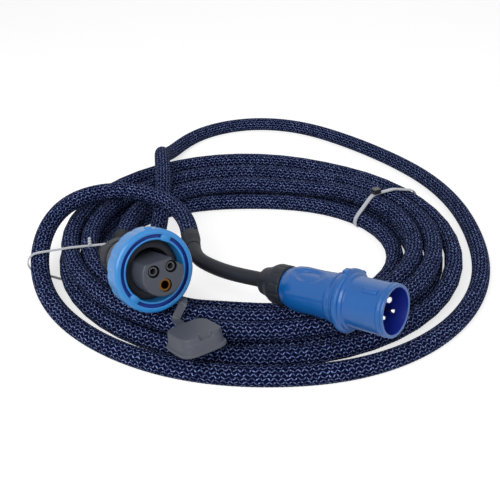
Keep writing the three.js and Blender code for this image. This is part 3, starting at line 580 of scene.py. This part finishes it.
@dataclass(frozen=True)
class CoilRoute:
    """The pile of loops: out on top, down outside, in on the floor. Millimetres and turns."""

    diameter: float = 18.0
    lane_gap: float = 0.8
    start: float = 168.0
    top_turns: float = 2.3
    turn_back: float = 0.5
    low_turns: float = 2.9222
    outer: float = 197.0
    drift: Point = (6.5, 18.5, 3.5)  # the outer lane's cosine, sine and double cosine
    bulge: float = 4.0
    pull_in: float = 12.0
    pull_turns: float = 0.3
    join_in: float = 12.5
    join_turns: float = 0.2
    loosen: float = 17.7
    looked_below: int = 9  # turns on, among which the lanes below are found
    ease_reach: int = 12
    ease_step: float = 1 / 360
    tip_turn: float = 0.004

    @property
    def pitch(self) -> float:
        """Distance between lanes that touch."""
        return self.diameter + self.lane_gap

    @property
    def floor_z(self) -> float:
        """Height of a strand's centre on the floor, which it lies on with a flat."""
        return self.diameter / 2 - self.diameter / 10

    @property
    def low_from(self) -> float:
        """Turn at which the floor layer begins."""
        return self.top_turns + self.turn_back

    @property
    def turns(self) -> float:
        """All turns."""
        return self.low_from + self.low_turns

    def angle(self, t: Array) -> Array:
        """Angle in radians at turn t."""
        return np.radians(self.start - 360.0 * t)

    def radius(self, t: Array) -> Array:
        """Distance from the coil's middle.

        Args:
            t: Turns from the start.

        Returns:
            The radius at each turn.
        """
        f = self.angle(t)
        u = t - self.top_turns
        lane = np.where(u < 0, -u, np.where(t < self.low_from, -u + 2 * u * u, t - self.low_from))
        a, b, c = self.drift
        outer = self.outer + a * np.cos(f) + b * np.sin(f) + c * np.cos(2 * f)
        step = self.pitch + self.loosen * ((1 + np.sin(f)) / 2) ** 4
        turn = np.clip(u / self.turn_back, 0, 1)
        leave = np.clip((t - self.turns + self.pull_turns) / self.pull_turns, 0, 1)
        leave = leave * leave * (3 - 2 * leave)
        join = (1 - np.clip(t / self.join_turns, 0, 1)) ** 2
        return (outer - lane * step + self.bulge * np.sin(np.pi * turn) ** 2
                - self.pull_in * leave - self.join_in * join)

    def nested(self, t: Array) -> Array:
        """Height at which the top layer nests on the lanes below it.

        Args:
            t: Turns from the start.

        Returns:
            The height at each turn.
        """
        r = self.radius(t)
        z = np.full_like(r, self.floor_z)
        for k in range(self.looked_below):
            low = t + k
            u = np.abs(self.radius(low) - r)
            high = self.floor_z + np.sqrt(np.clip(self.pitch ** 2 - u * u, 0, None))
            on = (low >= self.low_from) & (low <= self.turns) & (u < self.pitch)
            z = np.where(on, np.maximum(z, high), z)
        return z

    def eased(self, t: Array) -> Array:
        """The nested height with its corners eased, never lower than the nest.

        Args:
            t: Turns from the start.

        Returns:
            The height at each turn.
        """
        reach = self.ease_reach
        grid = np.array([self.nested(t + k * self.ease_step)
                         for k in range(-2 * reach, 2 * reach + 1)])
        high = [grid[k:k + 2 * reach + 1].max(axis=0) for k in range(2 * reach + 1)]
        return np.mean(high, axis=0)

    def at(self, t: Array) -> Array:
        """The route itself.

        Args:
            t: Turns from the start.

        Returns:
            Points about the coil's middle.
        """
        end_z = self.eased(np.array([self.top_turns]))[0]
        u = np.clip((t - self.top_turns) / self.turn_back, 0, 1)
        down = end_z + (self.floor_z - end_z) * u * u * (3 - 2 * u)
        z = np.where(t < self.top_turns, self.eased(t),
                     np.where(t < self.low_from, down, self.floor_z))
        f, r = self.angle(t), self.radius(t)
        return np.stack([r * np.cos(f), r * np.sin(f), z], axis=1)

    def points(self, per_turn: int) -> Array:
        """The route with its straight ends.

        Args:
            per_turn: Points in each turn.

        Returns:
            Points in millimetres about the coil's middle.
        """
        count = round(self.turns * per_turn)
        line = self.at(np.arange(count + 1) * self.turns / count)
        tips = self.at(np.array([0.0, self.tip_turn, self.turns - self.tip_turn, self.turns]))
        back, on = tips[0] - tips[1], tips[3] - tips[2]
        back[2] = 0
        first = line[0] + self.diameter * back / np.linalg.norm(back)
        last = line[-1] + self.diameter * on / np.linalg.norm(on)
        return np.vstack([first, line, last])


def spline(points: Sequence[Sequence[float]], count: int) -> Array:
    """Uniform cubic B-spline with both end points held, at equal steps of length.

    Args:
        points: Its control points.
        count: Steps along it.

    Returns:
        count + 1 points.
    """
    fine = 40  # steps in each span before they are made equal
    p = np.array([points[0], points[0], *points, points[-1], points[-1]], float)
    spans = len(p) - 3
    dense: list[Array] = []
    for at in np.linspace(0, spans, spans * fine + 1):
        i = min(int(at), spans - 1)
        u = at - i
        w = ((1 - u) ** 3, 3 * u ** 3 - 6 * u * u + 4, -3 * u ** 3 + 3 * u * u + 3 * u + 1, u ** 3)
        dense.append(sum(k * q for k, q in zip(w, p[i:i + 4])) / 6)
    line = np.array(dense)
    run = np.r_[0, np.cumsum(np.linalg.norm(np.diff(line, axis=0), axis=1))]
    steps = np.linspace(0, run[-1], count + 1)
    return np.stack([np.interp(steps, run, line[:, k]) for k in range(3)], axis=1)


def unit(step: Array) -> Array:
    """The direction of a step."""
    return step / np.linalg.norm(step)


LOOSE_POINTS: tuple[Point, ...] = (
    (-66, -101, 7.2), (-94, -73, 7.2), (-105, -36, 7.2), (-103, 4, 8), (-98, 42, 22),
    (-97, 80, 45), (-101, 120, 51), (-106, 158, 49), (-110, 192, 42), (-113, 228, 22),
    (-106, 270, 8), (-86, 326, 7.2), (-44, 368, 7.2), (14, 386, 7.2), (76, 370, 7.2),
    (128, 325, 7.2), (176, 270, 7.2), (222, 200, 7.2), (246, 120, 7.2), (248, 30, 7.2),
    (236, -45, 7.2), (204, -111, 7.2), (154, -164, 7.2), (88, -197, 7.2), (15, -205, 7.2),
    (-56, -197, 7.2), (-122, -167, 7.2), (-177, -118, 8), (-208, -64, 15), (-215, -12, 35),
    (-201, 34, 48), (-168, 60, 52), (-124, 62, 52), (-86, 40, 50), (-65, 3, 47), (-60, -28, 45),
)
PLUG_BEND: tuple[Point, ...] = ((-47, -74, 42), (-22, -93, 41.2))


# ---- cord ----


@dataclass
class Cord:
    """The sleeved cable and its bare ends."""

    coil: CoilRoute = field(default_factory=CoilRoute)
    clear: float = 0.3
    bare: float = 14.0
    collar_len: float = 22.0
    plug_len: float = 134.6
    conn_len: float = 96.0
    sides: int = 28
    ring_step: float = 2.05
    bare_ring_step: float = 3.0
    relief: float = 0.24
    per_turn: int = 48
    loose_steps: int = 76  # that the CAD source takes the loose turn's last direction from

    def routes(self) -> dict[str, Array]:
        """Works out every route.

        Returns:
            Name of the CAD node to its centre line, millimetres about the coil.
        """
        coil = self.coil.points(self.per_turn)
        out, back = unit(coil[-1] - coil[-2]), unit(coil[0] - coil[1])
        first = coil[-1] + self.clear * out
        points = [first, first + 7 * out, first + 16 * out, *LOOSE_POINTS]
        loose, coarse = spline(points, 320), spline(points, self.loose_steps)
        ahead = unit(coarse[-1] - coarse[-2])
        gap = self.collar_len + 2 * self.clear
        start, end = loose[-1] + gap * ahead, coil[0] + gap * back
        plug = spline([start, start + 12 * ahead, *PLUG_BEND,
                       *[PLUG_PLACE.at(z - self.plug_len) for z in (-10, 6, 22, 38)]], 60)
        conn = spline([*[CONN_PLACE.at(z - self.conn_len) for z in (34, 18, -6, -22)],
                       end + 18 * back, end + 7 * back, end], 50)
        return {"cord_coil": coil, "cord_loose_turn": loose, "plug_lead": plug,
                "connector_lead": conn}

    def sleeve_tree(self) -> bpy.types.NodeTree:
        """Builds the Geometry Nodes tree that turns a route into a braided sleeve.

        Returns:
            The tree, with named inputs for its sizes.
        """
        tree = bpy.data.node_groups.new("braided sleeve", "GeometryNodeTree")
        sizes = {"Radius": self.coil.diameter / 2 * MM, "Ring step": self.ring_step * MM,
                 "Relief": self.relief * MM, "Floor": 0.0, "Sides": self.sides}
        kinds = {"Geometry": "Geometry", **dict.fromkeys(sizes, "Float"), "Sides": "Int",
                 "Material": "Material"}
        for name, kind in kinds.items():
            socket = tree.interface.new_socket(name, in_out="INPUT",
                                               socket_type=f"NodeSocket{kind}")
            if name in sizes:
                socket.default_value = sizes[name]
        tree.interface.new_socket("Geometry", in_out="OUTPUT", socket_type="NodeSocketGeometry")
        t = Tree(tree)
        given = t.node("NodeGroupInput").outputs
        step, sides = given["Ring step"], given["Sides"]

        def store(name: str, geometry: object, value: object, data_type: str = "FLOAT",
                  domain: str = "POINT") -> Node:
            """Stores a value on the geometry."""
            return t.node("GeometryNodeStoreNamedAttribute", {
                "Geometry": geometry, "Name": name, "Value": value}, data_type=data_type,
                domain=domain)

        def read(name: str) -> Socket:
            """Reads a stored number."""
            return t.node("GeometryNodeInputNamedAttribute", {"Name": name},
                          data_type="FLOAT").outputs[0]

        even = t.node("GeometryNodeResampleCurve", {"Curve": given["Geometry"], "Length": step},
                      mode="LENGTH")
        line = store("along", even, t.node("GeometryNodeSplineParameter").outputs["Length"])
        circle = t.node("GeometryNodeCurvePrimitiveCircle",
                        {"Resolution": sides, "Radius": given["Radius"]})
        index = t.node("GeometryNodeInputIndex")
        tube = t.node("GeometryNodeCurveToMesh", {
            "Curve": line, "Profile Curve": store("around", circle, t.math("DIVIDE", index, sides)),
            "Fill Caps": True})
        # the seam's faces run on past the last side instead of back to the first
        mean = t.node("GeometryNodeFieldOnDomain", {0: read("around")}, data_type="FLOAT",
                      domain="FACE")
        behind = t.math("SUBTRACT", mean, read("around"))
        turn = t.math("ADD", read("around"), t.math("GREATER_THAN", behind, 0.3))
        uv = t.node("ShaderNodeCombineXYZ", {0: read("along"), 1: turn})
        mapped = store("UVMap", tube, uv, "FLOAT2", "CORNER")
        # yarns stand up and dip in turn along both diagonals
        ring = t.math("ROUND", t.math("DIVIDE", read("along"), step))
        column = t.math("ROUND", t.math("MULTIPLY", read("around"), sides))
        swing = t.math("SUBTRACT", t.math("PINGPONG", t.math("ADD", ring, column), 1.0), 0.5)
        lift = t.node("ShaderNodeVectorMath", {
            0: t.node("GeometryNodeInputNormal"),
            "Scale": t.math("MULTIPLY", swing, given["Relief"])}, operation="SCALE")
        raised = t.node("GeometryNodeSetPosition", {"Geometry": mapped, "Offset": lift})
        # flat where it lies on the floor
        place = t.node("ShaderNodeSeparateXYZ", {0: t.node("GeometryNodeInputPosition")}).outputs
        put = t.node("ShaderNodeCombineXYZ", {
            0: place[0], 1: place[1], 2: t.math("MAXIMUM", place[2], given["Floor"])})
        settled = t.node("GeometryNodeSetPosition", {"Geometry": raised, "Position": put})
        soft = t.node("GeometryNodeSetShadeSmooth", {"Geometry": settled})
        t.node("NodeGroupOutput", {"Geometry": t.node("GeometryNodeSetMaterial", {
            "Geometry": soft, "Material": given["Material"]})})
        return tree

    def build(self) -> None:
        tree = self.sleeve_tree()
        metres = {name: (line + np.array(SHIFT)) * MM for name, line in self.routes().items()}
        for node, name, slot in (
                ("cord_coil", "braided_coil", Slot.SLEEVE),
                ("cord_loose_turn", "braided_loose_turn", Slot.SLEEVE),
                ("plug_lead", "plug_lead_cover", Slot.BLACK_RUBBER),
                ("connector_lead", "connector_lead_cover", Slot.BLACK_RUBBER)):
            finished(self.tube(name, metres[node], tree, slot), slot, node)

    def tube(self, name: str, line: Array, tree: bpy.types.NodeTree, slot: Slot) -> Object:
        """Runs the sleeve tree along a route.

        Args:
            name: The piece's name.
            line: The route in metres.
            tree: The sleeve tree.
            slot: SLEEVE for the braid, otherwise a plain cover.

        Returns:
            A plain mesh object.
        """
        data = bpy.data.curves.new(name, "CURVE")
        data.dimensions = "3D"
        path = data.splines.new("POLY")
        path.points.add(len(line) - 1)
        path.points.foreach_set("co", np.c_[line, np.ones(len(line))].ravel())
        carrier = new_object(name + "_route", data)
        modifier = carrier.modifiers.new("sleeve", "NODES")
        modifier.node_group = tree
        sockets = {s.name: s.identifier for s in tree.interface.items_tree if s.in_out == "INPUT"}
        if slot is not Slot.SLEEVE:
            modifier[sockets["Radius"]] = self.bare / 2 * MM
            modifier[sockets["Relief"]] = 0.0
            modifier[sockets["Ring step"]] = self.bare_ring_step * MM
        modifier[sockets["Material"]] = FINISH[slot].make()
        ready = carrier.evaluated_get(bpy.context.evaluated_depsgraph_get())
        mesh = bpy.data.meshes.new_from_object(ready)
        bpy.data.objects.remove(carrier)
        return new_object(name, mesh)


# ---- plug and connector ----


def gland_seat(end: float) -> list[tuple[float, float]]:
    """Outline of a housing's spigot and the seat of its seal, from the gland's end."""
    return [(17, end + 28.6), (13.2, end + 28.3), (13.2, end + 18.4), (9.9, end + 18.4)]


@dataclass
class GlandNut:
    """Clamping nut at the cable end of a plug or connector, with flats for a hand."""

    place: Placed
    end: float  # height of its cable end on the axis
    spigot: float = 13.5
    seal: float = 7.6
    flats: int = 12
    flat_depth: float = 0.7

    def build(self, prefix: str) -> None:
        """Makes the nut.

        Args:
            prefix: Start of the names of its CAD nodes.
        """
        z = self.end

        def flattened(angles: Array, r: float, height: float) -> Array:
            """Grooves between the grips of the wide part."""
            deep = self.flat_depth if r >= 17 and height >= z + 19.5 else 0
            return r - deep * np.clip(np.cos(self.flats * angles), 0, 1) ** 6

        nut = turned([
            (self.seal, z), (11.4, z), (12.4, z + 1.2), (14.0, z + 8), (17.4, z + 14),
            (18.4, z + 17), (18.4, z + 20), (18.4, z + 26), (18.4, z + 27), (17.6, z + 28),
            (self.spigot, z + 28), (self.spigot, z + 18), (10.6, z + 16),
            (self.seal, z + 9)], 144, 0.9, flattened)
        finished(nut.placed(f"{prefix}_gland_nut_smooth", self.place), Slot.DARK,
                 f"{prefix}_gland_nut")


@dataclass
class Plug:
    """Three-pin plug: shroud with its flange and key, pins, stepped housing and gland nut."""

    place: Placed = PLUG_PLACE
    shroud_r: float = 21.9
    wall: float = 2.6
    depth: float = 36.0
    flange_r: float = 27.4
    length: float = 134.6
    pin_ring: float = 8.8
    clear: float = 0.3
    dimple_side: float = 104.0  # degrees
    dimple_half: tuple[float, float] = (9.0, 15.0)
    dimple_deep: float = 2.6

    @property
    def flange_z(self) -> float:
        """Back of the flange."""
        return -self.depth - 9

    def build(self) -> None:
        """Makes every visible piece of the plug."""
        self.shroud()
        self.housing()
        self.pins()
        GlandNut(self.place, -self.length).build("plug")

    def shroud(self) -> None:
        """Shroud outside, and a lining in a deeper blue that is painted shade inside the shroud."""
        inner, outer = self.shroud_r - self.wall, self.shroud_r
        fz, fr = self.flange_z, self.flange_r
        shell = turned([
            (inner + 0.2, 0), (inner + 0.2, fz - 2), (24, fz - 2), (fr - 1, fz), (fr, fz + 1),
            (fr, fz + 4), (fr - 1, fz + 5), (outer + 2.4, fz + 5.4), (outer + 1.9, fz + 7.6),
            (outer, fz + 8.2), (outer, -6.4), (outer + 0.6, -5.8), (outer + 0.6, -4.2),
            (outer, -3.6), (outer, -2.2), (outer + 0.5, -1.6), (outer + 0.2, 0)], 120, 0.45)
        key = rounded_block((0, fr - 1.2, fz + 1.4), (7, 5, 5.6), 1.2)
        rib = rounded_block((0, outer + 0.1, -16), (5, 2.6, 13), 1.1).spun(28)
        notch = rounded_block((0, fr - 0.6, fz + 2.2), (4.5, 3.2, 5.4), 1.0).spun(-52)
        finished((shell + key + rib + notch).placed("plug_shroud_smooth", self.place),
                 Slot.PLUG_BLUE, "plug_shroud")
        floor = -self.depth + 0.5
        # painted shade: a deeper blue sheet just inside the shroud's wall
        shade_lining = turned([
            (inner, -0.3), (inner + 0.3, -0.1), (inner + 0.3, floor), (inner, floor)], 96, 0.1)
        finished(shade_lining.placed("plug_shroud_painted_shade", self.place), Slot.PLUG_BLUE,
                 finish=SHROUD_SHADE_BLUE)

    def housing(self) -> None:
        """Housing that narrows to the gland, with stepped collars and an oval thumb dimple."""
        end, front = -self.length, self.flange_z - 2 - self.clear
        outline = [(16.6, front), (21.9, front), (21.9, front - 2.6), (21.2, front - 3.0),
                   (21.2, front - 5.2), (21.9, front - 5.6), (21.9, front - 8.4),
                   (20.6, front - 9.4)]
        outline += [(20.6 - 0.6 * s / 10, front - 9.4 - 1.66 * s) for s in range(1, 11)]
        outline += [(20.0 + 0.3 * s / 10, front - 26 - 1.8 * s) for s in range(1, 11)]
        outline += [(19.6, front - 50), *gland_seat(end), (9.9, end + 30), (16.6, end + 38)]
        side, (wide, high) = math.radians(self.dimple_side), self.dimple_half

        def dimpled(angles: Array, r: float, height: float) -> Array:
            """Oval hollow on the upper side.

            Args:
                angles: Angles about the axis.
                r: Radius of the outline.
                height: Height of the outline.

            Returns:
                The radii at the angles.
            """
            if r < 19:
                return np.full_like(angles, r)
            off = (angles - side + np.pi) % (2 * np.pi) - np.pi
            u, v = off * r / wide, (height - front + 32) / high
            inside = np.clip(1 - (u * u + v * v), 0, 1)
            return r - self.dimple_deep * np.minimum(1, 2.6 * inside) ** 1.5

        body = turned(outline, 160, 0.5, dimpled)
        finished(body.placed("plug_housing_smooth", self.place), Slot.PLUG_BLUE, "plug_housing")

    def pins(self) -> None:
        """Three pins with rounded tips."""
        back = -self.depth - 20.3
        for name, degrees, r, tip in (("line", 205, 2.5, -6.0), ("neutral", -35, 2.5, -6.0),
                                      ("earth", 85, 3.5, -4.5)):
            pin = turned([
                (0, tip), (r * 0.6, tip), (r, tip - 2.0), (r, back), (r + 0.6, back),
                (r + 0.6, back - 10), (0, back - 10)], 32, 0.9)
            pin = pin.out(self.pin_ring, degrees)
            finished(pin.placed(f"plug_{name}_pin_smooth", self.place), Slot.NICKEL,
                     f"plug_{name}_pin")


@dataclass
class Connector:
    """Three-hole connector with its locking ring, dark collar and stepped body."""

    place: Placed = CONN_PLACE
    ring_r: float = 36.5
    ring_in: float = 26.8
    ring_len: float = 20.0
    insert_r: float = 19.0
    length: float = 96.0
    clear: float = 0.3
    scallops: int = 16
    scallop_deep: float = 0.7
    scallop_at: float = 11.25  # degrees
    face: float = 15.0  # front of the insert
    socket_ring: float = 9.5

    @property
    def groove_r(self) -> float:
        """Middle of the groove in the ring's face."""
        return self.ring_in + 0.36 * (self.ring_r - self.ring_in)

    def build(self) -> None:
        """Makes every visible piece of the connector."""
        self.ring()
        self.collar()
        self.body()
        self.recess_shade()
        GlandNut(self.place, -self.length).build("connector")

    def ring(self) -> None:
        """Locking ring: outer band with scallops, groove, inner rim and two lugs, and a deeper blue
        sheet of painted shade in the groove.
        """
        outer, inner, back, groove = self.ring_r, self.ring_in, -self.ring_len, self.groove_r
        at = math.radians(self.scallop_at)

        def scalloped(angles: Array, r: float, height: float) -> Array:
            """Finger hollows on the back half of the outer band."""
            deep = self.scallop_deep if r >= outer - 0.2 and back + 1.3 < height < -8.8 else 0
            return r - deep * np.clip(np.cos(self.scallops * (angles - at)), 0, 1) ** 3

        band = turned([
            (outer - 1.6, 0), (groove + 1.5, 0), (groove + 1.5, -3.4), (groove - 1.5, -3.4),
            (groove - 1.5, -0.4), (inner + 0.6, -0.4), (inner, -1), (inner, -13.9),
            (inner + 1.5, -15.0), (inner + 1.5, -17.9), (inner, -18.7), (inner, back),
            (outer - 2, back), (outer, back + 2), (outer, back + 2.6), (outer, -10.0),
            (outer, -9.2), (outer, -1.6)], 192, 0.5, scalloped)
        # painted shade: a deeper blue sheet over the groove's bottom and walls
        shade = turned([
            (groove - 1.47, -0.5), (groove - 1.38, -0.5), (groove - 1.38, -3.3),
            (groove + 1.38, -3.3), (groove + 1.38, -0.2), (groove + 1.47, -0.2),
            (groove + 1.47, -3.38), (groove - 1.47, -3.38)], 144, 0.02)
        finished(shade.placed("locking_ring_groove_shade", self.place), Slot.RING_BLUE,
                 body=Body.RING, finish=GROOVE_SHADE_BLUE)
        lug = rounded_block((groove - 0.7, 0, -2.2), (6.6, 9, 4), 0.9)
        mark = rounded_block((outer - 0.1, 0, -7), (2.8, 5, 6), 0.9).spun(84)
        whole = band + lug.spun(58) + lug.spun(218) + mark
        finished(whole.placed("locking_ring_smooth", self.place), Slot.RING_BLUE,
                 "connector_locking_ring", body=Body.RING)

    def collar(self) -> None:
        """Collar that carries the ring."""
        seat, rim, face, back = self.insert_r + self.clear, self.ring_in - 0.5, -12.0, -22.7
        shape = turned([
            (seat, face), (rim, face), (rim, -14.5), (rim + 1.4, -15.5), (rim + 1.4, -17.5),
            (rim, -18.1), (rim, back), (seat, back)], 96, 0.4)
        finished(shape.placed("collar_smooth", self.place), Slot.DARK, "connector_collar")

    def recess_shade(self) -> None:
        """Painted shade: a dark sheet lining the three holes in the insert's face."""
        low = self.face - 5.9
        cups: list[Shape] = []
        for degrees, hole, tube in ((150, 5.4, 4.3), (30, 5.4, 4.3), (-90, 5.8, 5.6)):
            # painted shade: a dark cup down each hole
            cup = turned([
                (hole - 0.12, self.face - 0.15), (hole - 0.02, self.face - 0.1),
                (hole - 0.02, low), (tube, low), (tube, self.face - 5.7),
                (hole - 0.12, self.face - 5.7)], 48, 0.05)
            cups.append(cup.out(self.socket_ring, degrees))
        shade_lining = cups[0] + cups[1] + cups[2]
        finished(shade_lining.placed("socket_recess_shade", self.place), Slot.GREY, finish=PAINTED_HOLE_SHADE)

    def body(self) -> None:
        """Grey body that narrows to the gland."""
        seat, front, end = self.insert_r + self.clear, -self.ring_len - 3, -self.length
        shape = turned([
            (seat, front), (29, front), (29.4, front - 3), (28.4, front - 10), (25.6, front - 20),
            (21.8, front - 29), (19, front - 36), (18.4, front - 40), *gland_seat(end),
            (9.9, end + 29), (seat - 4, front - 36), (seat, front - 24)], 96, 1.6)
        finished(shape.placed("connector_body_smooth", self.place), Slot.GREY, "connector_body")


@dataclass
class Cap:
    """Tethered cap that leans on the pile: a stepped rubber cup with a notch in its top edge."""

    middle: Point = (-45, -194, 41.5)
    lean: float = 15.0
    heading: Point = CONN_PLACE.direction
    height: float = 15.0
    bore: float = 18.6
    tab: Point = (-59.3, -170.2, 38.2)
    tab_size: tuple[float, float] = (7.0, 1.8)
    tab_root: float = 16.0
    tab_gap: float = 0.75
    squareness: float = 4.2
    narrowed: float = 0.93

    def build(self) -> None:
        """Makes the cap and its tab."""
        ahead = Vector((self.heading[0], self.heading[1], 0)).normalized()
        lean, h = math.radians(self.lean), self.height / 2
        normal = Vector((0, 0, math.cos(lean))) - ahead * math.sin(lean)
        place = Placed(self.middle, tuple(normal))
        cup = turned([
            (0, h), (12, h), (19.2, h), (20.2, h - 0.9), (20.6, h - 5), (20.9, h - 5.8),
            (21, h - 6.8), (21.2, -h + 3.4), (23, -h + 2.8), (23, -h), (self.bore, -h),
            (self.bore, h - 8), (0, h - 8)], 96, 0.8, self.squared)
        flex = place.matrix.inverted() @ ((Vector(self.tab) + SHIFT) * MM)
        root, reach = self.tab_root, math.hypot(flex.x, flex.y) - self.tab_gap
        tab = rounded_block(((root + reach) / 2, 0, flex.z), (reach - root, *self.tab_size), 0.5)
        scoop = rounded_block((-1, 20.5, h), (13, 13, 8), 2.8)
        cap = carved(cup.placed("cap_smooth", place), scoop.placed("cap_scoop", place))
        finished(cap, Slot.CAP, "cap_body", body=Body.CAP)
        tab = tab.spun(math.degrees(math.atan2(flex.y, flex.x)))
        finished(tab.placed("cap_tab", place), Slot.CAP, body=Body.CAP)

    def squared(self, angles: Array, r: float, height: float) -> Array:
        """Rounded square, as the cap looks in the photograph.

        Args:
            angles: Angles about the axis.
            r: Radius of the outline.
            height: Height of the outline, which changes nothing.

        Returns:
            The radii at the angles.
        """
        n = self.squareness
        corner = (np.abs(np.cos(angles)) ** n + np.abs(np.sin(angles)) ** n) ** (-1 / n)
        return r * self.narrowed * corner


# ---- stage ----


@dataclass(frozen=True)
class Lamp:
    """A square lamp that looks at the object. Metres and watts."""

    name: str
    at: Point
    size: float
    power: float
    aim: Point = (0, -0.05, 0)

    def build(self) -> None:
        """Makes the lamp."""
        data = bpy.data.lights.new(self.name, "AREA")
        data.size, data.energy = self.size, self.power
        lamp = new_object(self.name, data)
        lamp.location = self.at
        way = Vector(self.aim) - lamp.location
        lamp.rotation_euler = way.to_track_quat("-Z", "Y").to_euler()


@dataclass
class Studio:
    """Camera at the photograph's angle, pale floor and soft light."""

    camera_at: Point = (0, -712, 423)
    tilt: float = 60.0  # from straight down, degrees
    focal_px: float = 780.0
    frame_px: float = 500.0
    sensor: float = 36.0
    floor_half: float = 6.0  # m
    floor_z: float = -0.0002  # m
    sky: tuple[float, float] = (0.32, 0.68)  # light on the object, and more for the camera
    lamps: tuple[Lamp, ...] = (
        Lamp("key", (-0.6, -1.3, 1.1), 1.2, 20.0), Lamp("fill", (1.2, -1.0, 0.9), 1.4, 7.0),
        Lamp("back", (0.2, 1.5, 1.3), 1.4, 3.0))

    def build(self) -> None:
        """Makes the camera, floor, lamps and world."""
        scene = bpy.context.scene
        data = bpy.data.cameras.new("camera")
        data.sensor_width = self.sensor
        data.lens = self.sensor * self.focal_px / self.frame_px
        data.clip_start, data.clip_end = 0.01, 50
        camera = new_object("camera", data)
        camera.location = (Vector(self.camera_at) + SHIFT) * MM
        camera.rotation_euler = (math.radians(self.tilt), 0, 0)
        scene.camera = camera
        scene.view_settings.view_transform = "Standard"
        self.floor()
        for lamp in self.lamps:
            lamp.build()
        self.world()

    def floor(self) -> None:
        """A wide pale floor."""
        mesh = bpy.data.meshes.new("floor")
        s, z = self.floor_half, self.floor_z
        mesh.from_pydata([(-s, -s, z), (s, -s, z), (s, s, z), (-s, s, z)], [], [(0, 1, 2, 3)])
        mesh.materials.append(FloorPaint().make())
        new_object("floor", mesh)

    def world(self) -> None:
        """Even white surroundings."""
        world = bpy.data.worlds.new("surroundings")
        bpy.context.scene.world = world
        world.use_nodes = True
        t = Tree(world.node_tree)
        base, more = self.sky
        strength = t.math("ADD", base, t.math("MULTIPLY", t.seen(), more))
        t.node("ShaderNodeOutputWorld", {"Surface": t.node(
            "ShaderNodeBackground", {"Color": WHITE, "Strength": strength})})


def dress_nodes() -> None:
    """Gives every CAD node that still shows its finish."""
    slots = {row["node"]: row["material_slot"] for row in frame["record"]["subparts"]}
    for name, obj in frame["nodes"].items():
        if not obj.hide_render:
            obj.data.materials.clear()
            finish = OWN_FINISH.get(name, FINISH[Slot(slots[name])])
            obj.data.materials.append(finish.make())


def main() -> None:
    """Builds the camera and the cord first, then the other pieces."""
    logging.basicConfig(level=logging.INFO, format="%(message)s")
    Studio().build()
    Cord().build()
    Plug().build()
    Connector().build()
    Cap().build()
    dress_nodes()


if __name__ == "__main__":
    main()
